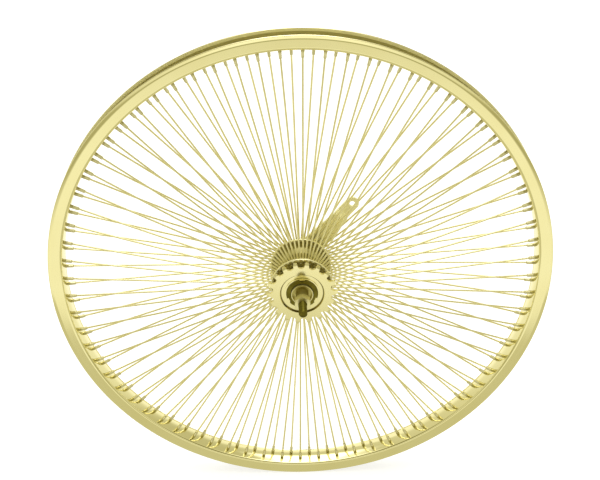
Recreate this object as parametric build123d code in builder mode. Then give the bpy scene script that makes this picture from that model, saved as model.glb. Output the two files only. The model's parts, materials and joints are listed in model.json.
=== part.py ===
"""Spoked rear wheel of a cruiser bicycle, with a coaster-brake hub.

Millimetres.  The origin is the wheel's centre, the axle lies along Y, the chain side faces -Y
and +Z is up.  Angles about the axle are in degrees, from the top, towards +X.
"""

from build123d import *

import os
from math import cos, radians, sin

# Rim, ISO 559 (26 inch), single wall
RIM_R = 286.3
RIM_WALL = 1.2
RIM_HALF_W = 14.0
RIM_BED_R = 269.6
RIM_CORNER_R = 271.7
RIM_CORNER_FILLET = 2.6
RIM_WELL_R = RIM_BED_R + RIM_WALL + 0.6
RIM_WELL_HALF_W = 8.0
# the edge of the sidewall leans in by 14 degrees and is folded back on itself
LIP_R = 0.9
LIP_Y = 12.39
LIP_TILT = 14.0
LIP_BEND_R = 282.66
LIP_BEND_FILLET = 7.4
LIP_FOLD_R = 282.8
VALVE_R = 4.2
VALVE_ANGLE = 1.53

# Spokes, 144 of them, in two rows at the rim and two rows on each hub flange
SPOKE_R = 1.0
SPOKES_PER_NODE = 36
SPOKE_PHASE = 0.28
ROW_Y = 4.2
DRIVE_LEAD = 2.3
BRAKE_LEAD = -1.55
ELBOW_R = 1.6
HEAD_R = 1.9
HEAD_T = 1.2
HEAD_FILLET = 0.6
OUTER_ROW_R = 32.6
INNER_ROW_R = 29.0
NIPPLE_R = 2.0
NIPPLE_SHOWN = 9.5
NIPPLE_HEAD_R = 3.0
NIPPLE_HOLE_R = 2.2

# Hub shell
FLANGE_R = 35.2
FLANGE_T = 3.0
DRIVE_FLANGE_Y = -25.6
BRAKE_FLANGE_Y = 23.8
BARREL_R = 20.0
SHELL_END_R = 25.0
SHELL_END_Y = 32.0
DRUM_R = 16.5
CUP_R = 19.0
FLANGE_HOLE_R = 1.3
CAP_GAP = 0.05

# Axle, 3/8 inch
AXLE_R = 4.76
AXLE_IN_NUTS_R = 4.45
AXLE_DRIVE_Y = -84.0
AXLE_BRAKE_Y = 72.0
AXLE_CHAMFER = 0.8
THREAD_GAP = 0.02
NUT_FLATS = 17.0
NUT_T = 8.0
NUT_SINK = 0.5
LOCKNUT_Y = -64.5
NECK = 0.2

# Sprocket, 18 teeth, 1/2 inch pitch, 1/8 inch thick
TEETH = 18
PITCH_R = 12.7 / (2 * sin(radians(180 / TEETH)))
ROLLER_SEAT_R = 3.92
TOOTH_TIP_R = 39.8
SPROCKET_T = 3.2
SPROCKET_Y = -42.2
DISH_Y = -39.8
DISH_R = 23.9
DISH_EDGE_R = 25.0
TOOTH_GAP_W = 14.3
TOOTH_GAP_FLANK = 60.9
TOOTH_GAP_ANGLE = -1.9

# Driver and the drive side's adjusting cone
DRIVER_END_Y = -41.5
DRIVER_R = 17.9
DRIVER_SEAT_R = 17.5
DRIVER_RACE_R = 17.0
SNAP_RING_T = 1.0
SNAP_GAP_ANGLE = 226
SCREW_R = 8.5
SCREW_END_Y = -3.0
DUST_CAP_R = 12.3
DUST_CAP_LIP_Y = -44.1

# Bearings: pitch radius, ball radius, middle along the axle, number of balls
SMALL_PITCH_R, SMALL_BALL_R, SMALL_Y, SMALL_BALLS = 9.6, 2.38, -34.0, 9
LARGE_PITCH_R, LARGE_BALL_R, LARGE_Y, LARGE_BALLS = 18.0, 3.175, 27.5, 12
RACE_GAP = 0.15
CAGE_GAP = 0.12

# Brake
TAPER = 0.25
SHOE_R = 15.7
SHOE_SPLIT = 1.2
ARM_Y = 38.6
ARM_T = 3.2
ARM_JOGGLE = 3.0
ARM_ANGLE = 40.5
ARM_HOLE_R = 3.25
ARM_HOLE_AT = 91.8
ARM_BEND_AT = 74.0
ARM_WASHER_T = 1.6


def polar(radius, angle, y=0.0):
    """A point at that radius and angle about the axle."""
    return Vector(radius * sin(radians(angle)), y, radius * cos(radians(angle)))


def outline(*points):
    """A closed outline of (radius, y) points, to be turned about the axle."""
    with BuildSketch(Plane.XY) as face:
        with BuildLine():
            Polyline(*points, close=True)
        make_face()
    return face.sketch


def groove(pitch_r, y, ball_r):
    """The section of a ball race."""
    with BuildSketch(Plane.XY) as face:
        with Locations((pitch_r, y)):
            Circle(ball_r + RACE_GAP)
    return face.sketch


def disc(y):
    """A plane square to the axle at y, looked at from the chain side."""
    return Plane(origin=(0, y, 0), x_dir=(1, 0, 0), z_dir=(0, -1, 0))


def around_axle(shape, count):
    """Copies of a shape, evenly spaced about the axle."""
    return [shape.rotate(Axis.Y, 360 * k / count) for k in range(count)]


def save(builder, name):
    builder.part.label = name
    export_step(builder.part, f"parts/{name}.step")


os.makedirs("parts", exist_ok=True)

# ---------------------------------------------------------------- spoke lines
# One spoke of each row: where it leaves the rim, its elbow at the flange and where its head sits.
DRIVE_LINE_Y = DRIVE_FLANGE_Y + FLANGE_T + 0.2 + SPOKE_R
BRAKE_LINE_Y = BRAKE_FLANGE_Y + 0.7 + SPOKE_R
DRIVE_HEAD_Y = DRIVE_FLANGE_Y - 0.05
BRAKE_HEAD_Y = BRAKE_FLANGE_Y - FLANGE_T - 0.05
ROWS = {
    "drive_outer": (0, -ROW_Y, DRIVE_LEAD, OUTER_ROW_R, DRIVE_LINE_Y, DRIVE_HEAD_Y),
    "drive_inner": (5, -ROW_Y, DRIVE_LEAD, INNER_ROW_R, DRIVE_LINE_Y, DRIVE_HEAD_Y),
    "brake_outer": (2.5, ROW_Y, BRAKE_LEAD, OUTER_ROW_R, BRAKE_LINE_Y, BRAKE_HEAD_Y),
    "brake_inner": (7.5, ROW_Y, BRAKE_LEAD, INNER_ROW_R, BRAKE_LINE_Y, BRAKE_HEAD_Y),
}


def spoke_points(row):
    """Rim end, elbow and head end of the first spoke of a row."""
    angle, rim_y, lead, hub_r, line_y, head_y = ROWS[row]
    angle += SPOKE_PHASE
    rim_end = polar(RIM_BED_R, angle, rim_y)
    elbow = polar(hub_r, angle + lead, line_y)
    head_end = polar(hub_r, angle + lead, head_y)
    return rim_end, elbow, head_end


def nipple_plane(row):
    """At the rim bed, with Z towards the hub along the spoke."""
    rim_end, elbow, _ = spoke_points(row)
    return Plane(origin=rim_end, x_dir=(0, 1, 0), z_dir=elbow - rim_end)


# ---------------------------------------------------------------- rim
with BuildPart() as nipple_bores:
    for row in ROWS:
        with BuildPart(nipple_plane(row), mode=Mode.PRIVATE) as bore:
            Cylinder(NIPPLE_HOLE_R, 8)
        add(around_axle(bore.part, SPOKES_PER_NODE))

with BuildPart() as valve_bore:
    with BuildSketch(Plane(origin=polar(RIM_BED_R - 4, VALVE_ANGLE), z_dir=polar(1, VALVE_ANGLE))):
        Circle(VALVE_R)
    extrude(amount=8)

LIP_CENTRE_R = RIM_R - LIP_R
LIP_TANGENT_R = LIP_CENTRE_R + LIP_R * sin(radians(LIP_TILT))
LIP_TANGENT_Y = LIP_Y + LIP_R * cos(radians(LIP_TILT))
INNER_HALF_W = RIM_HALF_W - RIM_WALL

with BuildSketch(Plane.XY) as rim_section:
    with BuildLine():
        bed = ThreePointArc(
            (RIM_CORNER_R, -RIM_HALF_W),
            (RIM_BED_R, 0),
            (RIM_CORNER_R, RIM_HALF_W),
        )
        Polyline(
            bed @ 1,
            (LIP_BEND_R, RIM_HALF_W),
            (LIP_TANGENT_R, LIP_TANGENT_Y),
            (LIP_CENTRE_R, LIP_Y),
            (LIP_CENTRE_R, LIP_Y - LIP_R),
            (LIP_FOLD_R, LIP_Y - LIP_R),
            (LIP_FOLD_R - 0.4, INNER_HALF_W),
            (RIM_CORNER_R + 3.5, INNER_HALF_W),
            (RIM_WELL_R, RIM_WELL_HALF_W),
            (RIM_WELL_R, -RIM_WELL_HALF_W),
            (RIM_CORNER_R + 3.5, -INNER_HALF_W),
            (LIP_FOLD_R - 0.4, -INNER_HALF_W),
            (LIP_FOLD_R, LIP_R - LIP_Y),
            (LIP_CENTRE_R, LIP_R - LIP_Y),
            (LIP_CENTRE_R, -LIP_Y),
            (LIP_TANGENT_R, -LIP_TANGENT_Y),
            (LIP_BEND_R, -RIM_HALF_W),
            bed @ 0,
        )
    make_face()
    outer_corners = rim_section.vertices().filter_by(lambda v: abs(v.Y) > RIM_HALF_W - 0.01)
    fillet(outer_corners.filter_by(lambda v: v.X < LIP_BEND_R - 1), RIM_CORNER_FILLET)
    fillet(outer_corners.filter_by(lambda v: v.X > LIP_BEND_R - 1), LIP_BEND_FILLET)
    with Locations((LIP_CENTRE_R, LIP_Y), (LIP_CENTRE_R, -LIP_Y)):
        Circle(LIP_R)

with BuildPart() as rim:
    revolve(rim_section.sketch, axis=Axis.Y)
    add(nipple_bores.part, mode=Mode.SUBTRACT)
    add(valve_bore.part, mode=Mode.SUBTRACT)
save(rim, "rim")

# ---------------------------------------------------------------- spokes and nipples
for row in ROWS:
    rim_end, elbow, head_end = spoke_points(row)
    to_hub = (elbow - rim_end).normalized()
    tip = rim_end - to_hub * 2.0
    head_way = (head_end - elbow).normalized()
    with BuildPart() as spoke:
        with BuildLine() as path:
            FilletPolyline(tip, elbow, head_end, radius=ELBOW_R)
        with BuildSketch(Plane(origin=tip, z_dir=to_hub)):
            Circle(SPOKE_R)
        sweep()
        with BuildSketch(Plane(origin=head_end, z_dir=head_way)):
            Circle(HEAD_R)
        extrude(amount=HEAD_T)
        along_axle = spoke.edges().filter_by(GeomType.CIRCLE).sort_by(Axis.Y)
        fillet(along_axle[0 if head_way.Y < 0 else -1], HEAD_FILLET)
    with BuildPart() as spokes:
        add(around_axle(spoke.part, SPOKES_PER_NODE))
    save(spokes, f"spokes_{row}")

with BuildPart(mode=Mode.PRIVATE) as nipple:
    with BuildSketch(Plane.XZ) as nipple_half:
        with BuildLine():
            Polyline(
                (SPOKE_R + 0.05, -4.2),
                (NIPPLE_HEAD_R - 0.6, -4.2),
                (NIPPLE_HEAD_R, -3.6),
                (NIPPLE_HEAD_R, -2.6),
                (NIPPLE_R, -2.15),
                (NIPPLE_R, NIPPLE_SHOWN - 1.2),
                (SPOKE_R + 0.45, NIPPLE_SHOWN),
                (SPOKE_R + 0.05, NIPPLE_SHOWN),
                close=True,
            )
        make_face()
    revolve(nipple_half.sketch, axis=Axis.Z)

for side in ("drive", "brake"):
    with BuildPart() as nipples:
        for row in (f"{side}_outer", f"{side}_inner"):
            placed = nipple_plane(row).location * nipple.part
            add(around_axle(placed, SPOKES_PER_NODE))
    save(nipples, f"nipples_{side}")

# ---------------------------------------------------------------- hub shell
with BuildPart() as flange_bores:
    for row, (angle, _, lead, hub_r, _, head_y) in ROWS.items():
        spot = polar(hub_r, angle + SPOKE_PHASE + lead, head_y)
        with BuildPart(Plane(origin=spot, z_dir=(0, 1, 0)), mode=Mode.PRIVATE) as bore:
            Cylinder(FLANGE_HOLE_R, 2 * FLANGE_T + 1)
        add(around_axle(bore.part, SPOKES_PER_NODE))

with BuildPart() as hub_shell:
    revolve(
        outline(
            (CUP_R, -SHELL_END_Y),
            (SHELL_END_R, -SHELL_END_Y),
            (SHELL_END_R, DRIVE_FLANGE_Y),
            (FLANGE_R, DRIVE_FLANGE_Y),
            (FLANGE_R, DRIVE_FLANGE_Y + FLANGE_T),
            (BARREL_R + 4.5, DRIVE_FLANGE_Y + FLANGE_T),
            (BARREL_R, DRIVE_FLANGE_Y + FLANGE_T + 4.5),
            (BARREL_R, BRAKE_FLANGE_Y - FLANGE_T - 4.5),
            (BARREL_R + 4.5, BRAKE_FLANGE_Y - FLANGE_T),
            (FLANGE_R, BRAKE_FLANGE_Y - FLANGE_T),
            (FLANGE_R, BRAKE_FLANGE_Y),
            (SHELL_END_R, BRAKE_FLANGE_Y),
            (SHELL_END_R, SHELL_END_Y),
            (CUP_R, SHELL_END_Y),
            (CUP_R, 21.0),
            (DRUM_R, 21.0),
            (DRUM_R, -9.5),
            (DRUM_R - 2.1, -19.5),
            (DRUM_R - 2.1, -22.5),
            (CUP_R, -22.5),
        ),
        axis=Axis.Y,
    )
    round_edges = hub_shell.edges().filter_by(GeomType.CIRCLE)
    fillet([e for e in round_edges if abs(e.radius - FLANGE_R) < 0.01], 0.9)
    revolve(groove(LARGE_PITCH_R, LARGE_Y, LARGE_BALL_R), axis=Axis.Y, mode=Mode.SUBTRACT)
    revolve(groove(LARGE_PITCH_R, -LARGE_Y, LARGE_BALL_R), axis=Axis.Y, mode=Mode.SUBTRACT)
    add(flange_bores.part, mode=Mode.SUBTRACT)
save(hub_shell, "hub_shell")

# The cap pressed on the chain end of the shell
with BuildPart() as drive_dust_cap:
    revolve(
        outline(
            (17.8, -SHELL_END_Y - 0.8),
            (SHELL_END_R + 0.8, -SHELL_END_Y - 0.8),
            (SHELL_END_R + 0.8, -28.0),
            (SHELL_END_R + CAP_GAP, -28.0),
            (SHELL_END_R + CAP_GAP, -SHELL_END_Y - CAP_GAP),
            (17.8, -SHELL_END_Y - CAP_GAP),
        ),
        axis=Axis.Y,
    )
save(drive_dust_cap, "drive_dust_cap")

# ---------------------------------------------------------------- axle and what is fixed to it
# The axle is at its crest size where it is bare, and at its thread's pitch size inside the nuts.
ARM_LOCKNUT_Y = ARM_Y + ARM_T + ARM_WASHER_T
with BuildPart() as axle:
    revolve(
        outline(
            (0, AXLE_DRIVE_Y),
            (AXLE_R - AXLE_CHAMFER, AXLE_DRIVE_Y),
            (AXLE_R, AXLE_DRIVE_Y + AXLE_CHAMFER),
            (AXLE_R, LOCKNUT_Y - NECK),
            (AXLE_IN_NUTS_R, LOCKNUT_Y - NECK),
            (AXLE_IN_NUTS_R, ARM_LOCKNUT_Y + NUT_T + NECK),
            (AXLE_R, ARM_LOCKNUT_Y + NUT_T + NECK),
            (AXLE_R, AXLE_BRAKE_Y - AXLE_CHAMFER),
            (AXLE_R - AXLE_CHAMFER, AXLE_BRAKE_Y),
            (0, AXLE_BRAKE_Y),
        ),
        axis=Axis.Y,
    )
save(axle, "axle")

BORE_R = AXLE_IN_NUTS_R + THREAD_GAP

with BuildPart() as adjusting_cone:
    revolve(
        outline(
            (BORE_R, -55.0),
            (7.2, -55.0),
            (7.2, -38.9),
            (8.6, -38.2),
            (8.6, -31.4),
            (BORE_R, -31.4),
        ),
        axis=Axis.Y,
    )
    revolve(groove(SMALL_PITCH_R, SMALL_Y, SMALL_BALL_R), axis=Axis.Y, mode=Mode.SUBTRACT)
save(adjusting_cone, "adjusting_cone")

with BuildPart() as cone_dust_cap:
    revolve(
        outline(
            (7.25, -39.6),
            (DUST_CAP_R - 0.9, -39.6),
            (DUST_CAP_R - 0.9, DUST_CAP_LIP_Y),
            (DUST_CAP_R, DUST_CAP_LIP_Y),
            (DUST_CAP_R, -38.9),
            (7.25, -38.9),
        ),
        axis=Axis.Y,
    )
save(cone_dust_cap, "cone_dust_cap")


def hex_nut(name, y):
    """A hexagon nut with chamfered corners and a countersunk bore, its chain side's face at y."""
    with BuildPart() as nut:
        with BuildSketch(disc(y)):
            RegularPolygon(NUT_FLATS / 2, 6, major_radius=False, rotation=30)
            Circle(BORE_R, mode=Mode.SUBTRACT)
        extrude(amount=-NUT_T)
        corner_r = NUT_FLATS / 2 / cos(radians(30))
        revolve(
            outline(
                (BORE_R, y + NUT_SINK),
                (BORE_R + NUT_SINK, y),
                (NUT_FLATS / 2 - 0.2, y),
                (corner_r, y + 1.0),
                (corner_r, y + NUT_T - 1.0),
                (NUT_FLATS / 2 - 0.2, y + NUT_T),
                (BORE_R + NUT_SINK, y + NUT_T),
                (BORE_R, y + NUT_T - NUT_SINK),
            ),
            axis=Axis.Y,
            mode=Mode.INTERSECT,
        )
    save(nut, name)


def washer(name, radius, y, thickness):
    with BuildPart() as ring:
        with BuildSketch(disc(y)):
            Circle(radius)
            Circle(BORE_R, mode=Mode.SUBTRACT)
        extrude(amount=-thickness)
        round_edges = ring.edges().filter_by(GeomType.CIRCLE)
        chamfer([e for e in round_edges if e.radius > BORE_R + 1], 0.25)
    save(ring, name)


hex_nut("cone_locknut", LOCKNUT_Y)
washer("cone_washer", 8.4, LOCKNUT_Y + NUT_T, 1.5)

# ---------------------------------------------------------------- driver, sprocket, snap ring
with BuildPart() as driver:
    revolve(
        outline(
            (DUST_CAP_R + 0.6, DRIVER_END_Y),
            (DRIVER_R, DRIVER_END_Y),
            (DRIVER_R, DRIVER_END_Y + 0.6),
            (DRIVER_SEAT_R - 0.8, DRIVER_END_Y + 0.6),
            (DRIVER_SEAT_R - 0.8, DISH_Y - 0.02),
            (DRIVER_SEAT_R, DISH_Y - 0.02),
            (DRIVER_SEAT_R, DISH_Y + SPROCKET_T),
            (20.5, DISH_Y + SPROCKET_T),
            (20.5, -33.8),
            (DRIVER_RACE_R, -33.8),
            (DRIVER_RACE_R, -23.2),
            (SCREW_R, -23.2),
            (SCREW_R, SCREW_END_Y),
            (6.0, SCREW_END_Y),
            (6.0, -30.2),
            (10.6, -30.2),
            (10.6, -37.6),
            (DUST_CAP_R + 0.6, -37.6),
        ),
        axis=Axis.Y,
    )
    revolve(groove(SMALL_PITCH_R, SMALL_Y, SMALL_BALL_R), axis=Axis.Y, mode=Mode.SUBTRACT)
    revolve(groove(LARGE_PITCH_R, -LARGE_Y, LARGE_BALL_R), axis=Axis.Y, mode=Mode.SUBTRACT)
    # three slots for the sprocket's lugs
    with BuildSketch(disc(DRIVER_END_Y)):
        with PolarLocations(DRIVER_SEAT_R, 3, start_angle=90):
            Rectangle(3.2, 6.0)
    extrude(amount=DRIVER_END_Y - DISH_Y - SPROCKET_T, mode=Mode.SUBTRACT)
save(driver, "driver")

with BuildPart() as sprocket:
    bevel_r = TOOTH_TIP_R - 3.0
    back_y = SPROCKET_Y + SPROCKET_T
    revolve(
        outline(
            (DRIVER_SEAT_R + 0.05, DISH_Y),
            (DISH_R, DISH_Y),
            (DISH_EDGE_R, SPROCKET_Y),
            (bevel_r, SPROCKET_Y),
            (TOOTH_TIP_R, SPROCKET_Y + 0.8),
            (TOOTH_TIP_R, back_y - 0.8),
            (bevel_r, back_y),
            (28.0, back_y),
            (27.0, DISH_Y + SPROCKET_T),
            (DRIVER_SEAT_R + 0.05, DISH_Y + SPROCKET_T),
        ),
        axis=Axis.Y,
    )
    with BuildSketch(disc(SPROCKET_Y - 1)):
        with PolarLocations(PITCH_R, TEETH, start_angle=90 - TOOTH_GAP_ANGLE):
            Circle(ROLLER_SEAT_R)
            with Locations((3.0, 0)):
                Trapezoid(TOOTH_GAP_W, 6.0, TOOTH_GAP_FLANK, rotation=90)
    extrude(amount=-SPROCKET_T - 2, mode=Mode.SUBTRACT)
    # three lugs that key it to the driver
    with BuildSketch(disc(DISH_Y)):
        with PolarLocations(DRIVER_SEAT_R - 0.2, 3, start_angle=90):
            Rectangle(2.4, 5.6)
    extrude(amount=-SPROCKET_T)
save(sprocket, "sprocket")

with BuildPart() as snap_ring:
    with BuildSketch(disc(DISH_Y - SNAP_RING_T - 0.05)):
        Circle(DRIVER_SEAT_R + 1.9)
        Circle(DRIVER_SEAT_R - 0.75, mode=Mode.SUBTRACT)
        with Locations(Location((0, 0), 90 - SNAP_GAP_ANGLE)):
            with Locations((DRIVER_SEAT_R, 0)):
                Rectangle(6, 5, mode=Mode.SUBTRACT)
    extrude(amount=-SNAP_RING_T)
save(snap_ring, "snap_ring")

# ---------------------------------------------------------------- brake
with BuildPart() as clutch_cone:
    revolve(
        outline(
            (SCREW_R + 0.5, -18.5),
            (DRUM_R - 2.19, -18.5),
            (DRUM_R - 0.3, -9.5),
            (13.4, -9.5),
            (13.4 - TAPER * 8, -1.5),
            (SCREW_R + 0.5, -1.5),
        ),
        axis=Axis.Y,
    )
save(clutch_cone, "clutch_cone")

with BuildPart() as brake_cone:
    revolve(
        outline(
            (BORE_R, -0.5),
            (7.5, -0.5),
            (7.5, 9.0),
            (10.6, 9.0),
            (10.6 + TAPER * 8, 17.0),
            (13.2, 17.0),
            (13.2, 22.5),
            (DRIVER_RACE_R, 22.5),
            (DRIVER_RACE_R, 33.0),
            (12.0, 33.0),
            (12.0, ARM_Y),
            (BORE_R, ARM_Y),
        ),
        axis=Axis.Y,
    )
    revolve(groove(LARGE_PITCH_R, LARGE_Y, LARGE_BALL_R), axis=Axis.Y, mode=Mode.SUBTRACT)
    with BuildSketch(disc(ARM_Y)):
        with Locations(Location((0, 0), 90 - ARM_ANGLE)):
            Rectangle(14, 14)
        Circle(9.0, mode=Mode.INTERSECT)
        Circle(BORE_R, mode=Mode.SUBTRACT)
    extrude(amount=-ARM_T)
save(brake_cone, "brake_cone")

with BuildPart() as shoe_ring:
    revolve(
        outline(
            (14.25 - TAPER * 3, -6.0),
            (SHOE_R, -6.0),
            (SHOE_R, 16.0),
            (11.0 + TAPER * 7, 16.0),
            (11.0, 9.0),
            (12.2, 8.8),
            (12.2, -1.0),
        ),
        axis=Axis.Y,
    )

for name, way in (("brake_shoe_upper", 1), ("brake_shoe_lower", -1)):
    with BuildPart() as shoe:
        add(shoe_ring.part)
        split(bisect_by=Plane(origin=(0, 0, way * SHOE_SPLIT), z_dir=(0, 0, way)), keep=Keep.TOP)
    save(shoe, name)

with BuildPart() as retarder_spring:
    with BuildSketch(disc(0.0)):
        Circle(8.5)
        Circle(7.55, mode=Mode.SUBTRACT)
        with Locations((0, 8)):
            Rectangle(3, 4, mode=Mode.SUBTRACT)
    extrude(amount=-4.0)
save(retarder_spring, "retarder_spring")

with BuildPart() as brake_dust_cap:
    revolve(
        outline(
            (12.05, 33.4),
            (SHELL_END_R + 1.6, 33.4),
            (SHELL_END_R + 1.6, 27.5),
            (SHELL_END_R + 0.8, 27.5),
            (SHELL_END_R + 0.8, 32.6),
            (17.3, 32.6),
            (17.3, 33.0),
            (12.05, 33.0),
        ),
        axis=Axis.Y,
    )
    lip = brake_dust_cap.edges().filter_by(GeomType.CIRCLE).group_by(Axis.Y)[-1]
    fillet([e for e in lip if e.radius > SHELL_END_R], 0.7)
save(brake_dust_cap, "brake_dust_cap")

# The arm, bent out by a joggle near its end
ARM_PLANE = Plane(origin=(0, ARM_Y, 0), x_dir=polar(1, ARM_ANGLE), z_dir=(0, -1, 0))
ARM_SIDE = Plane(origin=(0, 0, 0), x_dir=polar(1, ARM_ANGLE), z_dir=polar(1, ARM_ANGLE - 90))
with BuildPart() as brake_arm:
    with BuildSketch(ARM_SIDE):
        with BuildLine():
            Polyline(
                (-20, ARM_Y),
                (ARM_BEND_AT - 3, ARM_Y),
                (ARM_BEND_AT + 3, ARM_Y + ARM_JOGGLE),
                (110, ARM_Y + ARM_JOGGLE),
                (110, ARM_Y + ARM_JOGGLE + ARM_T),
                (ARM_BEND_AT + 2, ARM_Y + ARM_JOGGLE + ARM_T),
                (ARM_BEND_AT - 4, ARM_Y + ARM_T),
                (-20, ARM_Y + ARM_T),
                close=True,
            )
        make_face()
    extrude(amount=20, both=True)
    with BuildSketch(ARM_PLANE.offset(5)) as arm_outline:
        with BuildLine():
            Polyline((0, 15.5), (ARM_BEND_AT, 8.3), (ARM_BEND_AT, -8.3), (0, -15.5), close=True)
        make_face()
        Circle(15.5)
        with Locations((ARM_BEND_AT / 2 + ARM_HOLE_AT / 2, 0)):
            Rectangle(ARM_HOLE_AT - ARM_BEND_AT + 2, 15.6)
        with Locations((ARM_HOLE_AT, 0)):
            Circle(7.8)
            Circle(ARM_HOLE_R, mode=Mode.SUBTRACT)
        Rectangle(14.1, 14.1, mode=Mode.SUBTRACT)
    extrude(amount=-20, mode=Mode.INTERSECT)
    for end in (0, -1):
        flat_face = brake_arm.faces().filter_by(Axis.Y).sort_by(Axis.Y)[end]
        fillet(flat_face.outer_wire().edges(), 0.5)
save(brake_arm, "brake_arm")

washer("arm_washer", 11.5, ARM_Y + ARM_T, ARM_WASHER_T)
hex_nut("arm_locknut", ARM_LOCKNUT_Y)


# ---------------------------------------------------------------- ball bearings
def bearing(name, pitch_r, ball_r, y, count, half_width, half_thick):
    """A ring of balls and the cage that spaces them."""
    centre = polar(pitch_r, 0, y)
    with BuildPart() as ball:
        with Locations(centre):
            Sphere(ball_r)
    with BuildPart() as balls:
        add(around_axle(ball.part, count))
    save(balls, f"{name}_balls")
    with BuildPart() as pocket:
        with Locations(centre):
            Sphere(ball_r + CAGE_GAP)
    with BuildPart() as cage:
        revolve(
            outline(
                (pitch_r - half_thick, y - half_width),
                (pitch_r + half_thick, y - half_width),
                (pitch_r + half_thick, y + half_width),
                (pitch_r - half_thick, y + half_width),
            ),
            axis=Axis.Y,
        )
        add(around_axle(pocket.part, count), mode=Mode.SUBTRACT)
    save(cage, f"{name}_cage")


bearing("outer", SMALL_PITCH_R, SMALL_BALL_R, SMALL_Y, SMALL_BALLS, 3.1, 0.5)
bearing("drive", LARGE_PITCH_R, LARGE_BALL_R, -LARGE_Y, LARGE_BALLS, 3.8, 0.5)
bearing("brake", LARGE_PITCH_R, LARGE_BALL_R, LARGE_Y, LARGE_BALLS, 3.8, 0.5)
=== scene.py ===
"""Looks of a spoked bicycle wheel: gold plate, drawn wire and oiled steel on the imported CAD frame.

Metres.  The wheel's centre is the origin, the axle lies along Y and the chain side faces -Y.
Angles about the axle are in degrees from the top, towards +X, as in the CAD source.
"""

import json
from math import cos, pi, radians, sin, tau

import bpy
import numpy as np
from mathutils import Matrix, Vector

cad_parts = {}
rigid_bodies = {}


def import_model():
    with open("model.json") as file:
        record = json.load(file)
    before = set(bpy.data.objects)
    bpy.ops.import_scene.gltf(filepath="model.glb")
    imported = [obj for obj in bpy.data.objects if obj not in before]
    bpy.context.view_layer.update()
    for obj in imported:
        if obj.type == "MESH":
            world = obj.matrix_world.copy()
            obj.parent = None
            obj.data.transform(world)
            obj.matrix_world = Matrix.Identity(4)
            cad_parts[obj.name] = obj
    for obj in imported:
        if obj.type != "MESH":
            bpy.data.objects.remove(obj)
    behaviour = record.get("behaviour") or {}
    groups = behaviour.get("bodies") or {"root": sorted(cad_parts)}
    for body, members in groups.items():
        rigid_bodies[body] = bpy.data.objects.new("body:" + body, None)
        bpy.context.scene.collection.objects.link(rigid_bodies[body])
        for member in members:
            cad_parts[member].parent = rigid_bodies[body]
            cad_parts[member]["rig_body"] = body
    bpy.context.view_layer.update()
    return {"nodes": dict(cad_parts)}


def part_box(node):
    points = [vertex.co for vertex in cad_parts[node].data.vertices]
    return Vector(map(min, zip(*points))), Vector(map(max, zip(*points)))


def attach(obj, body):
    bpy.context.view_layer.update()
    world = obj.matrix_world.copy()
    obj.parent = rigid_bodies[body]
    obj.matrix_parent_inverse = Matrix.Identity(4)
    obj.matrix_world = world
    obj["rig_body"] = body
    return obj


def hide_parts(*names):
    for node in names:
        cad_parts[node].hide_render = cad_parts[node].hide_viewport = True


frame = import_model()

MM = 0.001

# Rim
RIM_R = 286.3 * MM
RIM_HALF_W = 14.0 * MM
RIM_WALL = 1.2 * MM
BED_R = 269.6 * MM
CORNER_R = 271.7 * MM
CORNER_FILLET = 2.6 * MM
BED_CROWN = (CORNER_R - BED_R) / RIM_HALF_W**2
WELL_R = BED_R + RIM_WALL + 0.6 * MM
WELL_HALF_W = 8.0 * MM
LIP_R = 0.9 * MM
LIP_Y = 12.39 * MM
LIP_CENTRE_R = RIM_R - LIP_R
LIP_TILT = 14.0
LIP_BEND_R = 282.66 * MM
LIP_BEND_FILLET = 7.4 * MM
LIP_FOLD_R = 282.8 * MM
RIM_STEPS = 720
VALVE_R = 4.2 * MM
VALVE_ANGLE = 1.53

# Spokes and nipples
SPOKE_R = 1.0 * MM
SPOKES_PER_NODE = 36
SPOKE_PHASE = 0.28
ROW_Y = 4.2 * MM
OUTER_ROW_R = 32.6 * MM
INNER_ROW_R = 29.0 * MM
ELBOW_R = 1.6 * MM
HEAD_R = 1.9 * MM
HEAD_T = 1.2 * MM
DRIVE_LINE_Y = -21.4 * MM
BRAKE_LINE_Y = 25.5 * MM
DRIVE_HEAD_Y = -25.65 * MM
BRAKE_HEAD_Y = 20.75 * MM
DRIVE_LEAD = 2.3
BRAKE_LEAD = -1.55
ROWS = {
    "drive_outer": (0.0, -ROW_Y, DRIVE_LEAD, OUTER_ROW_R, DRIVE_LINE_Y, DRIVE_HEAD_Y),
    "drive_inner": (5.0, -ROW_Y, DRIVE_LEAD, INNER_ROW_R, DRIVE_LINE_Y, DRIVE_HEAD_Y),
    "brake_outer": (2.5, ROW_Y, BRAKE_LEAD, OUTER_ROW_R, BRAKE_LINE_Y, BRAKE_HEAD_Y),
    "brake_inner": (7.5, ROW_Y, BRAKE_LEAD, INNER_ROW_R, BRAKE_LINE_Y, BRAKE_HEAD_Y),
}
NIPPLE_SIDES = 16

# Hub flanges, and the bend of the sprocket's dish
FLANGE_R = 35.2 * MM
DISH_BEND_START_R = 23.2 * MM
DISH_BEND_END_R = 24.6 * MM

# Small dust cap
CAP_INSIDE_R = 11.5 * MM

# Axle thread, 26 to the inch
THREAD_PITCH = 25.4 / 26 * MM
THREAD_DEPTH = 0.5 * MM
THREAD_LENGTH = 58.0 * MM
THREAD_RINGS = 6
AXLE_SIDES = 32
AXLE_CHAMFER = 0.8 * MM


# ------------------------------------------------------------------ mesh helpers
def polar(radius, angle, y=0.0):
    return Vector((radius * sin(radians(angle)), y, radius * cos(radians(angle))))


def grid_faces(rows, columns, wrap_rows, wrap_columns):
    """Quads of a rows by columns grid of points."""
    i = np.arange(rows if wrap_rows else rows - 1)
    j = np.arange(columns if wrap_columns else columns - 1)
    i, j = np.meshgrid(i, j, indexing="ij")
    near, far = i * columns, (i + 1) % rows * columns
    left, right = j, (j + 1) % columns
    quads = np.stack([near + left, near + right, far + right, far + left], -1)
    return quads.reshape(-1, 4).tolist()


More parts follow.
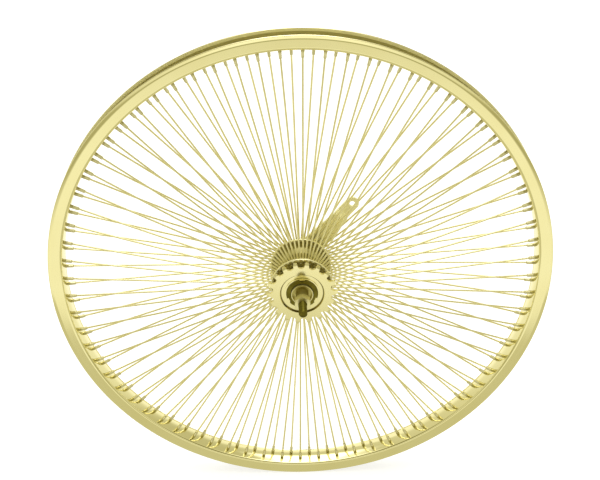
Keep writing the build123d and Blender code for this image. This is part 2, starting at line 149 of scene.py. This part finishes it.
def lathe(profile, steps):
    """A closed outline of (radius, y) points turned about the axle."""
    angles = np.arange(steps) * tau / steps
    r, y = np.array(profile, float).T
    points = np.stack(
        [np.outer(r, np.sin(angles)), np.outer(y, np.ones(steps)), np.outer(r, np.cos(angles))], -1
    )
    return points.reshape(-1, 3), grid_faces(len(profile), steps, True, True)


def rings(frames, sections):
    """A tube through the frames (point, side, up), with one section of (x, y) points for each."""
    points = []
    for (point, side, up), section in zip(frames, sections):
        points += [point + side * x + up * y for x, y in section]
    columns = len(sections[0])
    faces = grid_faces(len(frames), columns, False, True)
    last = (len(frames) - 1) * columns
    faces += [list(range(columns))[::-1], list(range(last, last + columns))]
    return np.array(points, float), faces


def circle(radius, sides=12):
    return [(radius * cos(tau * k / sides), radius * sin(tau * k / sides)) for k in range(sides)]


def around_axle(points, faces, count):
    """Copies of a mesh, evenly spaced about the axle."""
    all_points, all_faces = [], []
    for k in range(count):
        a = tau * k / count
        turn = np.array([[cos(a), 0, sin(a)], [0, 1, 0], [-sin(a), 0, cos(a)]])
        all_points.append(points @ turn.T)
        all_faces += [[v + k * len(points) for v in face] for face in faces]
    return np.concatenate(all_points), all_faces


def piece(name, points, faces, material, node, sharp=35):
    """A mesh that stands for a CAD node and rides on its body."""
    mesh = bpy.data.meshes.new(name)
    mesh.from_pydata([tuple(p) for p in points], [], faces)
    mesh.validate()
    mesh.shade_smooth()
    mesh.set_sharp_from_angle(angle=radians(sharp))
    obj = bpy.data.objects.new(name, mesh)
    bpy.context.scene.collection.objects.link(obj)
    mesh.materials.append(material)
    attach(obj, frame["nodes"][node]["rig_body"])
    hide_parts(node)
    return obj


# ------------------------------------------------------------------ material helpers
class Shader:
    """A material's node tree, with short ways to add and join nodes."""

    def __init__(self, name):
        self.material = bpy.data.materials.new(name)
        self.material.use_nodes = True
        self.tree = self.material.node_tree
        self.bsdf = self.tree.nodes["Principled BSDF"]
        coordinates = self.tree.nodes.new("ShaderNodeTexCoord")
        self.place = coordinates.outputs["Object"]

    def join(self, source, socket):
        """Sets a socket to a constant or links it to another."""
        if isinstance(source, bpy.types.NodeSocket):
            self.tree.links.new(source, socket)
        else:
            socket.default_value = source

    def math(self, operation, a, b=0.0):
        n = self.tree.nodes.new("ShaderNodeMath")
        n.operation = operation
        self.join(a, n.inputs[0])
        self.join(b, n.inputs[1])
        return n.outputs[0]

    def stretched(self, x, y, z):
        """The place, scaled along the axes."""
        n = self.tree.nodes.new("ShaderNodeVectorMath")
        n.operation = "MULTIPLY"
        self.join(self.place, n.inputs[0])
        n.inputs[1].default_value = (x, y, z)
        return n.outputs[0]

    def radius_and_y(self):
        """The distance from the axle, and the place along it."""
        split = self.tree.nodes.new("ShaderNodeSeparateXYZ")
        self.join(self.place, split.inputs[0])
        square = self.math(
            "ADD",
            self.math("MULTIPLY", split.outputs["X"], split.outputs["X"]),
            self.math("MULTIPLY", split.outputs["Z"], split.outputs["Z"]),
        )
        return self.math("SQRT", square), split.outputs["Y"]

    def turned(self):
        """A coordinate that only changes with the radius and along the axle."""
        radius, y = self.radius_and_y()
        joined = self.tree.nodes.new("ShaderNodeCombineXYZ")
        self.join(radius, joined.inputs["X"])
        self.join(y, joined.inputs["Y"])
        return joined.outputs[0]

    def band(self, value, low, high, softness=0.2 * MM):
        """1 where the value is between low and high, with soft ends."""
        rise = self.between(value, 0, 1, low - softness, low + softness)
        fall = self.between(value, 1, 0, high - softness, high + softness)
        return self.math("MULTIPLY", rise, fall)

    def noise(self, place, scale, detail=3.0, rough=0.5):
        n = self.tree.nodes.new("ShaderNodeTexNoise")
        self.join(place, n.inputs["Vector"])
        n.inputs["Scale"].default_value = scale
        n.inputs["Detail"].default_value = detail
        n.inputs["Roughness"].default_value = rough
        return n.outputs["Fac"]

    def between(self, factor, low, high, start=0.3, end=0.7):
        """Maps start..end of a noise to low..high."""
        n = self.tree.nodes.new("ShaderNodeMapRange")
        self.join(factor, n.inputs["Value"])
        for name, value in (("From Min", start), ("From Max", end), ("To Min", low), ("To Max", high)):
            n.inputs[name].default_value = value
        return n.outputs["Result"]

    def mix(self, factor, a, b):
        n = self.tree.nodes.new("ShaderNodeMix")
        n.data_type = "RGBA"
        self.join(factor, n.inputs["Factor"])
        for name, colour in (("A", a), ("B", b)):
            constant = not isinstance(colour, bpy.types.NodeSocket)
            self.join((*colour, 1) if constant else colour, n.inputs[name])
        return n.outputs["Result"]

    def bump(self, *layers):
        """Bumps laid over each other, each (height, strength, distance)."""
        normal = None
        for height, strength, distance in layers:
            n = self.tree.nodes.new("ShaderNodeBump")
            self.join(height, n.inputs["Height"])
            n.inputs["Strength"].default_value = strength
            n.inputs["Distance"].default_value = distance
            if normal:
                self.join(normal, n.inputs["Normal"])
            normal = n.outputs["Normal"]
        self.join(normal, self.bsdf.inputs["Normal"])

    def surface(self, colour, roughness, metallic=1.0):
        self.join(colour, self.bsdf.inputs["Base Color"])
        self.join(roughness, self.bsdf.inputs["Roughness"])
        self.bsdf.inputs["Metallic"].default_value = metallic


GOLD = (0.94, 0.88, 0.50)
GOLD_DEEP = (0.91, 0.84, 0.45)
# the arm's pale gold, also used as a painted highlight on the rim's lip folds and the flanges' edges
PALE_GOLD = (0.99, 0.95, 0.62)
PALE_GOLD_DEEP = (0.93, 0.89, 0.58)
# the hub's gold, darkened with painted shade
SHADED_HUB_GOLD_LIGHT = (0.60, 0.545, 0.25)
SHADED_HUB_GOLD_DEEP = (0.51, 0.46, 0.195)
# painted shade for the rim's channel
CHANNEL_SHADE_GOLD = (0.58, 0.535, 0.27)
# painted shade for the spokes' elbows and heads in the flanges
SHADED_HEAD_GOLD = (0.40, 0.36, 0.17)
NIPPLE_GOLD = (0.74, 0.69, 0.40)
# painted shade for the nipples where they stand in the rim
NIPPLE_BASE_SHADE = (0.55, 0.50, 0.24)
# painted shade for the bend of the sprocket's dish
BEND_SHADE_GOLD = (0.34, 0.30, 0.13)
# painted shade for the inside of the small dust cap
CAP_SHADE_GOLD = (0.56, 0.50, 0.18)
BRONZE = (0.5, 0.36, 0.17)
BRONZE_DEEP = (0.36, 0.25, 0.11)


def turned_gold(name, roughness):
    """Gold plate over a turned surface, with fine lines round the axle."""
    s = Shader(name)
    cloud = s.noise(s.place, 18, 4)
    fine = s.noise(s.turned(), 2600, 2)
    plate = s.mix(s.between(cloud, 0, 1), GOLD, GOLD_DEEP)
    s.surface(plate, s.between(fine, roughness, roughness + 0.06))
    s.bump((fine, 0.08, 0.00005))
    return s.material


def rim_gold():
    """Gold plate over the rolled rim, dull in the channel that a tyre covers, with painted shade in the
    channel and a painted highlight on the lips' inner folds.
    """
    s = Shader("gold_rim")
    cloud = s.noise(s.place, 18, 4)
    fine = s.noise(s.turned(), 2600, 2)
    radius, y = s.radius_and_y()
    inside_wall = RIM_HALF_W - 0.95 * MM
    inside_fold = LIP_Y - LIP_R + 0.1 * MM
    uncrowned = s.math("SUBTRACT", radius, s.math("MULTIPLY", BED_CROWN, s.math("MULTIPLY", y, y)))
    above_bed = s.band(uncrowned, BED_R + 1.0 * MM, 2 * RIM_R)
    below_lip = s.between(radius, 1, 0, LIP_FOLD_R - 0.3 * MM, LIP_FOLD_R + 0.1 * MM)
    between_walls = s.band(y, -inside_wall, inside_wall, softness=0.05 * MM)
    channel = s.math("MULTIPLY", s.math("MULTIPLY", above_bed, below_lip), between_walls)
    folded = s.band(y, -inside_fold, inside_fold, softness=0.05 * MM)
    # the lips' inner folds: a painted highlight in pale gold, and a rougher finish
    edge = s.math("MULTIPLY", folded, s.math("SUBTRACT", above_bed, below_lip))
    plate = s.mix(s.between(cloud, 0, 1), GOLD, GOLD_DEEP)
    polish = s.between(fine, 0.05, 0.11)
    unpolished = s.math("MULTIPLY", s.math("MAXIMUM", channel, edge), 0.45)
    # painted shade in the channel, and a painted highlight in pale gold on the lips' inner folds
    colour = s.mix(channel, s.mix(edge, plate, PALE_GOLD), CHANNEL_SHADE_GOLD)
    s.surface(colour, s.math("ADD", polish, unpolished))
    s.bump((fine, 0.06, 0.00005), (s.noise(s.place, 9, 2), 0.02, 0.004))
    return s.material


def hub_gold():
    """Gold plate over the turned hub: dull, darkened all over with painted shade, and with a painted
    highlight in pale gold at the flanges' edges.
    """
    s = Shader("gold_hub")
    cloud = s.noise(s.place, 18, 4)
    fine = s.noise(s.turned(), 2600, 2)
    radius, _ = s.radius_and_y()
    # the flanges' edges: a painted highlight in pale gold, and a little more roughness
    edge = s.between(radius, 0, 1, FLANGE_R - 1.1 * MM, FLANGE_R - 0.7 * MM)
    # painted shade: a darker gold than the rim's, over the whole hub
    plate = s.mix(s.between(cloud, 0, 1), SHADED_HUB_GOLD_LIGHT, SHADED_HUB_GOLD_DEEP)
    soft = s.math("ADD", s.between(fine, 0.26, 0.32), s.math("MULTIPLY", edge, 0.08))
    s.surface(s.mix(edge, plate, PALE_GOLD), soft)
    s.bump((fine, 0.06, 0.00005))
    return s.material


def sprocket_gold():
    """Gold plate over pressed steel, with painted shade in the bend of the dish."""
    s = Shader("gold_sprocket")
    cloud = s.noise(s.place, 18, 4)
    fine = s.noise(s.turned(), 2600, 2)
    radius, _ = s.radius_and_y()
    # painted shade: a dark ring in the bend of the dish
    bend = s.band(radius, DISH_BEND_START_R, DISH_BEND_END_R)
    plate = s.mix(s.between(cloud, 0, 1), GOLD, GOLD_DEEP)
    s.surface(s.mix(bend, plate, BEND_SHADE_GOLD), s.between(fine, 0.1, 0.16))
    s.bump((fine, 0.08, 0.00005))
    return s.material


def nipple_gold():
    """Gold plate over brass, dull, with painted shade where it stands in the rim."""
    s = Shader("gold_nipple")
    cloud = s.noise(s.place, 300, 3)
    radius, _ = s.radius_and_y()
    edge = s.math("ADD", radius, s.math("MULTIPLY", cloud, 0.0015))
    # painted shade, darker within a few millimetres of the rim's bed
    base = s.between(edge, 0, 1, BED_R - 3.5 * MM, BED_R - 1.0 * MM)
    s.surface(s.mix(base, NIPPLE_GOLD, NIPPLE_BASE_SHADE), s.between(cloud, 0.22, 0.3))
    s.bump((cloud, 0.05, 0.0001))
    return s.material


def shaded_cap():
    """The small dust cap: gold at its rim, darkened inside with painted shade."""
    s = Shader("gold_cap_painted_shade")
    radius, _ = s.radius_and_y()
    mottle = s.noise(s.place, 400, 4)
    edge = s.math("ADD", radius, s.math("MULTIPLY", mottle, 0.0004))
    rim = s.between(edge, 0, 1, CAP_INSIDE_R, CAP_INSIDE_R + 0.0003)
    # painted shade inside the cap's rim
    s.surface(s.mix(rim, CAP_SHADE_GOLD, GOLD), s.between(mottle, 0.3, 0.44))
    s.bump((mottle, 0.1, 0.0001))
    return s.material


def drawn_wire():
    """Gold plate over drawn wire, darkened with painted shade at the bent end in the flange."""
    s = Shader("gold_wire")
    cloud = s.noise(s.place, 60, 3)
    radius, _ = s.radius_and_y()
    # painted shade on the elbows and heads inside the flange
    head = s.between(radius, 1, 0, OUTER_ROW_R + 0.5 * MM, FLANGE_R + 0.3 * MM)
    plate = s.mix(s.between(cloud, 0, 1), GOLD, GOLD_DEEP)
    s.surface(s.mix(head, plate, SHADED_HEAD_GOLD), s.between(cloud, 0.28, 0.36))
    s.bump((s.noise(s.place, 900, 2), 0.03, 0.0001))
    return s.material


def brushed_gold():
    """Gold plate over brushed sheet, for the arm."""
    s = Shader("gold_brushed")
    cloud = s.noise(s.place, 30, 4)
    grain = s.noise(s.stretched(1, 1, 0.08), 700, 2)
    s.surface(s.mix(s.between(cloud, 0, 1), PALE_GOLD, PALE_GOLD_DEEP), s.between(grain, 0.40, 0.46))
    s.bump((grain, 0.04, 0.00005))
    return s.material


def dark_steel(name, light, dark, roughness):
    """Oiled steel with a dark phosphate finish, paler where it is handled."""
    s = Shader(name)
    cloud = s.noise(s.place, 120, 5, 0.6)
    fine = s.noise(s.turned(), 3000, 2)
    s.surface(s.mix(s.between(cloud, 0, 1), light, dark), s.between(cloud, roughness, roughness + 0.14))
    s.bump((fine, 0.1, 0.00005), (s.noise(s.place, 500, 3), 0.15, 0.0002))
    return s.material


def bronze():
    """Sintered bronze, matt and a little porous."""
    s = Shader("sintered_bronze")
    grain = s.noise(s.place, 1800, 4)
    s.surface(s.mix(grain, BRONZE, BRONZE_DEEP), s.between(grain, 0.42, 0.6))
    s.bump((grain, 0.4, 0.0002))
    return s.material


def plain_white():
    """The floor: pale, matt, with a slight unevenness."""
    s = Shader("floor_white")
    cloud = s.noise(s.place, 2, 3)
    s.surface(s.mix(s.between(cloud, 0, 1), (0.46, 0.46, 0.46), (0.44, 0.44, 0.44)), 0.9, metallic=0.0)
    s.bsdf.inputs["Specular IOR Level"].default_value = 0.1
    s.bsdf.inputs["Emission Color"].default_value = (1, 1, 1, 1)
    s.bsdf.inputs["Emission Strength"].default_value = 0.76
    return s.material


RIM_GOLD = rim_gold()
HUB_GOLD = hub_gold()
NUT_GOLD = turned_gold("gold_nut", 0.28)
SPROCKET_GOLD = sprocket_gold()
NIPPLE_PLATE = nipple_gold()
CAP_GOLD = shaded_cap()
WIRE_GOLD = drawn_wire()
ARM_GOLD = brushed_gold()
AXLE_STEEL = dark_steel("dark_axle_steel", (0.21, 0.180, 0.024), (0.11, 0.094, 0.012), 0.34)
DRIVER_STEEL = dark_steel("dark_driver_steel", (0.22, 0.188, 0.030), (0.14, 0.119, 0.018), 0.3)
CONE_STEEL = dark_steel("greased_cone_steel", (0.66, 0.58, 0.20), (0.46, 0.40, 0.13), 0.34)
HARD_STEEL = dark_steel("hard_steel", (0.50, 0.48, 0.42), (0.36, 0.34, 0.29), 0.22)
BALL_STEEL = dark_steel("ball_steel", (0.72, 0.72, 0.72), (0.62, 0.62, 0.62), 0.08)
SHOE_BRONZE = bronze()

NODE_MATERIALS = {
    "hub_shell": HUB_GOLD,
    "drive_dust_cap": HUB_GOLD,
    "brake_dust_cap": HUB_GOLD,
    "cone_dust_cap": CAP_GOLD,
    "cone_washer": NUT_GOLD,
    "cone_locknut": NUT_GOLD,
    "arm_washer": NUT_GOLD,
    "arm_locknut": NUT_GOLD,
    "snap_ring": SPROCKET_GOLD,
    "sprocket": SPROCKET_GOLD,
    "brake_arm": ARM_GOLD,
    "adjusting_cone": CONE_STEEL,
    "driver": DRIVER_STEEL,
    "brake_cone": HARD_STEEL,
    "clutch_cone": HARD_STEEL,
    "retarder_spring": HARD_STEEL,
    "outer_cage": HARD_STEEL,
    "drive_cage": HARD_STEEL,
    "brake_cage": HARD_STEEL,
    "outer_balls": BALL_STEEL,
    "drive_balls": BALL_STEEL,
    "brake_balls": BALL_STEEL,
    "brake_shoe_upper": SHOE_BRONZE,
    "brake_shoe_lower": SHOE_BRONZE,
}
for node, material in NODE_MATERIALS.items():
    cad_mesh = frame["nodes"][node].data
    cad_mesh.materials.clear()
    cad_mesh.materials.append(material)


# ------------------------------------------------------------------ rim
def arc(centre_r, centre_y, radius, start, end, steps):
    """Points (radius, y) of an arc; the angle is from outwards towards +Y."""
    turn = [radians(start + (end - start) * k / steps) for k in range(steps + 1)]
    return [(centre_r + radius * cos(a), centre_y + radius * sin(a)) for a in turn]


def rim_side():
    """Half of the rim's section, from the middle of the bed round the lip to the middle of the well."""
    bed_end = RIM_HALF_W - CORNER_FILLET
    slope = np.degrees(np.arctan(2 * BED_CROWN * bed_end))
    bed = [(BED_R + BED_CROWN * y * y, y) for y in np.linspace(0, bed_end, 12)]
    turn = radians(slope)
    corner_r = bed[-1][0] + CORNER_FILLET * cos(turn)
    corner_y = bed[-1][1] - CORNER_FILLET * sin(turn)
    rounding = (RIM_HALF_W - corner_y) / CORNER_FILLET
    corner = [
        (corner_r + (r - corner_r) * rounding, corner_y + (y - corner_y) * rounding)
        for r, y in arc(corner_r, corner_y, CORNER_FILLET, 180 - slope, 90, 8)
    ][1:]
    cut = LIP_BEND_FILLET * np.tan(radians(LIP_TILT / 2))
    bend = arc(LIP_BEND_R - cut, RIM_HALF_W - LIP_BEND_FILLET, LIP_BEND_FILLET, 90, 90 - LIP_TILT, 8)
    wall_start, wall_end = corner[-1][0], bend[0][0]
    flat = [
        (wall_start + share * (wall_end - wall_start), RIM_HALF_W)
        for share in (0.03, 0.25, 0.5, 0.75, 0.97)
    ]
    lip = arc(LIP_CENTRE_R, LIP_Y, LIP_R, 90 - LIP_TILT, -90, 18)
    fold_y = LIP_Y - LIP_R
    inner_wall = [
        (LIP_FOLD_R + 0.3 * MM, fold_y),
        (LIP_FOLD_R, fold_y),
        (LIP_FOLD_R - 0.2 * MM, fold_y + 0.5 * MM),
        (LIP_FOLD_R - 0.4 * MM, RIM_HALF_W - RIM_WALL),
        (LIP_FOLD_R - 2.0 * MM, RIM_HALF_W - RIM_WALL),
        (CORNER_R + 4.4 * MM, RIM_HALF_W - RIM_WALL),
        (CORNER_R + 3.3 * MM, RIM_HALF_W - RIM_WALL - 0.5 * MM),
    ]
    well = [
        (WELL_R + 0.3 * MM, WELL_HALF_W + 0.6 * MM),
        (WELL_R, WELL_HALF_W - 0.6 * MM),
        (WELL_R, WELL_HALF_W / 2),
        (WELL_R, 0.0),
    ]
    return bed + corner + flat + bend + lip + inner_wall + well


def make_rim():
    side = rim_side()
    mirrored = [(r, -y) for r, y in side[::-1]][1:-1]
    points, faces = lathe(side + mirrored, RIM_STEPS)
    rim = piece("rim_hoop", points, faces, RIM_GOLD, "rim")
    bpy.ops.mesh.primitive_cylinder_add(vertices=48, radius=VALVE_R, depth=12 * MM)
    drill = bpy.context.active_object
    drill.location = polar(BED_R, VALVE_ANGLE)
    drill.rotation_euler = (0, radians(VALVE_ANGLE), 0)
    cut = rim.modifiers.new("valve_hole", "BOOLEAN")
    cut.operation = "DIFFERENCE"
    cut.solver = "EXACT"
    cut.object = drill
    bpy.context.view_layer.objects.active = rim
    bpy.ops.object.modifier_apply(modifier=cut.name)
    bpy.data.objects.remove(drill)
    return rim


# ------------------------------------------------------------------ spokes and nipples
def spoke_ends(row):
    angle, rim_y, lead, hub_r, line_y, head_y = ROWS[row]
    angle += SPOKE_PHASE
    return (
        polar(BED_R, angle, rim_y),
        polar(hub_r, angle + lead, line_y),
        polar(hub_r, angle + lead, head_y),
    )


def make_spokes(row):
    """A row of spokes: straight wire, an elbow through the flange and a domed head."""
    rim_end, elbow, head_end = spoke_ends(row)
    to_hub = (elbow - rim_end).normalized()
    to_head = (head_end - elbow).normalized()
    side = to_hub.cross(to_head).normalized()
    bend = to_hub.angle(to_head)
    cut = ELBOW_R * np.tan(bend / 2)
    start = elbow - to_hub * cut
    centre = start + side.cross(to_hub) * ELBOW_R
    frames, sections = [], []

    def ring(point, along, radius):
        frames.append((point, side, along.cross(side)))
        sections.append(circle(radius))

    ring(rim_end - to_hub * 2 * MM, to_hub, SPOKE_R)
    for share in (0.02, 0.2, 0.4, 0.6, 0.8, 0.95):
        ring(rim_end.lerp(start, share), to_hub, SPOKE_R)
    arm = start - centre
    for k in range(9):
        a = bend * k / 8
        along = to_hub * cos(a) + side.cross(to_hub) * sin(a)
        point = centre + arm * cos(a) + to_hub * ELBOW_R * sin(a)
        ring(point, along, SPOKE_R)
    ring(head_end, to_head, SPOKE_R)
    dome = ((0.0, 1.0), (0.15, 1.06), (0.45, 1.06), (0.7, 0.95), (0.9, 0.72), (1.0, 0.4))
    for depth, width in dome:
        ring(head_end + to_head * HEAD_T * depth, to_head, HEAD_R * min(width, 1.0))
    points, faces = rings(frames, sections)
    points, faces = around_axle(points, faces, SPOKES_PER_NODE)
    return piece(f"spokes_{row}_wire", points, faces, WIRE_GOLD, f"spokes_{row}", 50)


def squared(radius, flats):
    """A round section of that radius with four flats cut on it."""
    section = []
    for k in range(NIPPLE_SIDES):
        a = tau * k / NIPPLE_SIDES
        r = min(radius, flats / 2 / max(abs(cos(a)), abs(sin(a))))
        section.append((r * cos(a), r * sin(a)))
    return section


def make_nipples(side_name):
    """Both rows of one side's nipples: head in the well, round neck, four flats, tapered end."""
    outline = (
        (-4.2, 1.6, 9), (-4.2, 2.4, 9), (-3.95, 2.8, 9), (-3.6, 3.0, 9), (-2.6, 3.0, 9), (-2.15, 2.0, 9),
        (0.0, 2.0, 9), (2.6, 2.0, 9), (3.0, 2.0, 3.7), (3.4, 2.0, 3.35), (8.2, 2.0, 3.3),
        (8.8, 1.8, 3.2), (9.35, 1.5, 3.0), (9.5, 1.3, 3.0), (9.5, 1.0, 3.0),
    )
    all_points, all_faces = [], []
    for row in (f"{side_name}_outer", f"{side_name}_inner"):
        rim_end, elbow, _ = spoke_ends(row)
        to_hub = (elbow - rim_end).normalized()
        side = Vector((0, 1, 0)).cross(to_hub).normalized()
        up = to_hub.cross(side)
        frames = [(rim_end + to_hub * along * MM, side, up) for along, _, _ in outline]
        sections = [squared(radius * MM, flats * MM) for _, radius, flats in outline]
        points, faces = around_axle(*rings(frames, sections), SPOKES_PER_NODE)
        all_faces += [[v + len(all_points) for v in face] for face in faces]
        all_points += list(points)
    name = f"nipples_{side_name}"
    return piece(f"{name}_plated", all_points, all_faces, NIPPLE_PLATE, name, 30)


# ------------------------------------------------------------------ axle
def make_axle():
    """The axle with a rolled thread at each end, cut to a helix."""
    low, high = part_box("axle")
    radius = high.z
    sides = AXLE_SIDES
    steps = int((high.y - low.y) / THREAD_PITCH * THREAD_RINGS)
    y = np.linspace(low.y, high.y, steps)
    angle = np.arange(sides) * tau / sides
    yy, aa = np.meshgrid(y, angle, indexing="ij")
    from_end = np.minimum(yy - low.y, high.y - yy)
    wave = np.abs((yy / THREAD_PITCH + aa / tau) % 1 - 0.5) * 2
    runout = np.clip((THREAD_LENGTH - from_end) / (2 * THREAD_PITCH), 0, 1)
    chamfered = np.clip(radius - AXLE_CHAMFER + from_end, 0, radius)
    groove = THREAD_DEPTH * runout * (1 - np.clip(wave * 1.3 - 0.15, 0, 1))
    r = np.minimum(radius - groove, chamfered)
    points = np.stack([r * np.sin(aa), yy, r * np.cos(aa)], -1).reshape(-1, 3)
    faces = grid_faces(steps, sides, False, True)
    last = (steps - 1) * sides
    faces += [list(range(sides))[::-1], list(range(last, last + sides))]
    return piece("axle_threaded", points, faces, AXLE_STEEL, "axle", 60)


make_rim()
for row in ROWS:
    make_spokes(row)
make_nipples("drive")
make_nipples("brake")
make_axle()

# ------------------------------------------------------------------ floor, light, camera
FLOOR_Z = -RIM_R - 0.0005
bpy.ops.mesh.primitive_plane_add(size=60, location=(0, 0, FLOOR_Z))
floor = bpy.context.active_object
floor.name = "floor"
floor.data.materials.append(plain_white())
floor.visible_glossy = False

world = bpy.data.worlds.new("studio")
bpy.context.scene.world = world
world.use_nodes = True
sky = world.node_tree
sky.nodes.clear()


def sky_math(operation, a, b=0.0):
    n = sky.nodes.new("ShaderNodeMath")
    n.operation = operation
    for source, socket in ((a, n.inputs[0]), (b, n.inputs[1])):
        if isinstance(source, bpy.types.NodeSocket):
            sky.links.new(source, socket)
        else:
            socket.default_value = source
    return n.outputs[0]


def sky_step(value, middle, softness):
    """Rises smoothly from 0 to 1 about the middle."""
    n = sky.nodes.new("ShaderNodeMapRange")
    n.interpolation_type = "SMOOTHSTEP"
    sky.links.new(value, n.inputs["Value"])
    n.inputs["From Min"].default_value = middle - softness
    n.inputs["From Max"].default_value = middle + softness
    return n.outputs["Result"]


# how far green and blue lie below red in the plate as shown on a display, at every brightness
GREEN_BELOW_RED = 9 / 255
BLUE_BELOW_RED = 74 / 255
LEAST_BLUE = 0.02


def light_colour(level):
    """The light that the gold plate shows at this level; over 1 it whitens."""
    red = 1.055 * (level * GOLD[0]) ** (1 / 2.4) - 0.055
    shown = (red, red - GREEN_BELOW_RED, max(red - BLUE_BELOW_RED, LEAST_BLUE))
    wanted = [((c + 0.055) / 1.055) ** 2.4 for c in shown]
    return (*(max(level - 1, 0) + c / plate for c, plate in zip(wanted, GOLD)), 1)


direction = sky.nodes.new("ShaderNodeTexCoord")
split = sky.nodes.new("ShaderNodeSeparateXYZ")
sky.links.new(direction.outputs["Generated"], split.inputs[0])
# degrees above the horizon, and degrees round from the chain side's front, which is -Y
elevation = sky_math("MULTIPLY", sky_math("ARCSINE", split.outputs["Z"]), 180 / pi)
front = sky_math("MULTIPLY", split.outputs["Y"], -1.0)
azimuth = sky_math("MULTIPLY", sky_math("ARCTAN2", split.outputs["X"], front), 180 / pi)
from_front = sky_math("ABSOLUTE", azimuth)

ramp = sky.nodes.new("ShaderNodeValToRGB")
height = sky_math("ADD", sky_math("DIVIDE", elevation, 180.0), 0.5)
sky.links.new(height, ramp.inputs["Fac"])
HEIGHTS = (
    (-90, 0.45), (-50, 0.88), (-30, 0.98), (-10, 0.92), (0, 0.86), (10, 0.78),
    (30, 0.72), (50, 0.66), (62, 1.1), (75, 1.9), (90, 2.5),
)
while len(ramp.color_ramp.elements) < len(HEIGHTS):
    ramp.color_ramp.elements.new(0.5)
for element, (degrees, level) in zip(ramp.color_ramp.elements, HEIGHTS):
    element.position = degrees / 180 + 0.5
    element.color = light_colour(level)
painted = ramp.outputs["Color"]


def paint(level, round_to, middle, half, side_soft, low, high, low_soft, high_soft):
    """Paints a soft-edged panel on the studio's walls.

    Everything but the level is in degrees.  round_to is the angle round the wheel that the panel's
    middle and half width are measured in, and low and high are its edges above the horizon.
    """
    global painted
    away = sky_math("ABSOLUTE", sky_math("SUBTRACT", round_to, middle))
    inside = sky_math("SUBTRACT", 1.0, sky_step(away, half, side_soft))
    above = sky_step(elevation, low, low_soft)
    below = sky_math("SUBTRACT", 1.0, sky_step(elevation, high, high_soft))
    n = sky.nodes.new("ShaderNodeMix")
    n.data_type = "RGBA"
    sky.links.new(sky_math("MULTIPLY", inside, sky_math("MULTIPLY", above, below)), n.inputs["Factor"])
    sky.links.new(painted, n.inputs["A"])
    n.inputs["B"].default_value = light_colour(level)
    painted = n.outputs["Result"]


# behind the wheel: a bright screen, a second one overhead with a brighter middle, and a dim corner
paint(1.04, from_front, 180, 32, 9, -60, 26, 8, 4)
paint(1.10, from_front, 180, 36, 10, 45, 75, 4, 8)
paint(1.90, from_front, 180, 26, 10, 44, 70, 4, 8)
paint(0.58, azimuth, 120, 34, 14, 14, 62, 12, 6)
# in front: dim sides, a dark band at the horizon, a pale one and the dark room above, and a bright table
paint(0.63, from_front, 0, 85, 12, -100, 52, 5, 6)
paint(0.46, from_front, 0, 85, 12, -12, 0, 3, 2)
paint(0.86, from_front, 0, 50, 12, 2, 18, 3, 3)
paint(1.06, from_front, 0, 16, 8, 4, 20, 3, 3)
paint(0.24, from_front, 0, 62, 12, 20, 50, 3, 6)
paint(1.00, from_front, 0, 52, 8, -32.6, -18, 1, 6)

reflected = sky.nodes.new("ShaderNodeBackground")
sky.links.new(painted, reflected.inputs["Color"])
seen = sky.nodes.new("ShaderNodeBackground")
seen.inputs["Color"].default_value = (1, 1, 1, 1)
path = sky.nodes.new("ShaderNodeLightPath")
choose = sky.nodes.new("ShaderNodeMixShader")
sky.links.new(path.outputs["Is Camera Ray"], choose.inputs["Fac"])
sky.links.new(reflected.outputs[0], choose.inputs[1])
sky.links.new(seen.outputs[0], choose.inputs[2])
output = sky.nodes.new("ShaderNodeOutputWorld")
sky.links.new(choose.outputs[0], output.inputs["Surface"])


def softbox(name, place, aim, width, height, power):
    """A large soft light."""
    light = bpy.data.lights.new(name, "AREA")
    light.shape = "RECTANGLE"
    light.size = width
    light.size_y = height
    light.energy = power
    obj = bpy.data.objects.new(name, light)
    bpy.context.scene.collection.objects.link(obj)
    obj.location = place
    obj.rotation_mode = "QUATERNION"
    obj.rotation_quaternion = (Vector(aim) - Vector(place)).to_track_quat("-Z", "Y")
    return obj


softbox("light_above", place=(0, 0.4, 2.4), aim=(0, 0, 0), width=1.2, height=0.8, power=7.5)

CAMERA_AZIMUTH = -1.33
CAMERA_ELEVATION = 30.69
CAMERA_DISTANCE = 1.184
back = Vector(
    (
        sin(radians(CAMERA_AZIMUTH)) * cos(radians(CAMERA_ELEVATION)),
        -cos(radians(CAMERA_AZIMUTH)) * cos(radians(CAMERA_ELEVATION)),
        sin(radians(CAMERA_ELEVATION)),
    )
)
camera = bpy.data.objects.new("camera", bpy.data.cameras.new("camera"))
bpy.context.scene.collection.objects.link(camera)
camera.data.sensor_width = 36
camera.data.lens = 61.7
camera.data.shift_x = -0.0022
camera.data.shift_y = 0.058
camera.location = back * CAMERA_DISTANCE
camera.rotation_mode = "QUATERNION"
camera.rotation_quaternion = (-back).to_track_quat("-Z", "Y")
bpy.context.scene.camera = camera
bpy.context.scene.view_settings.view_transform = "Standard"
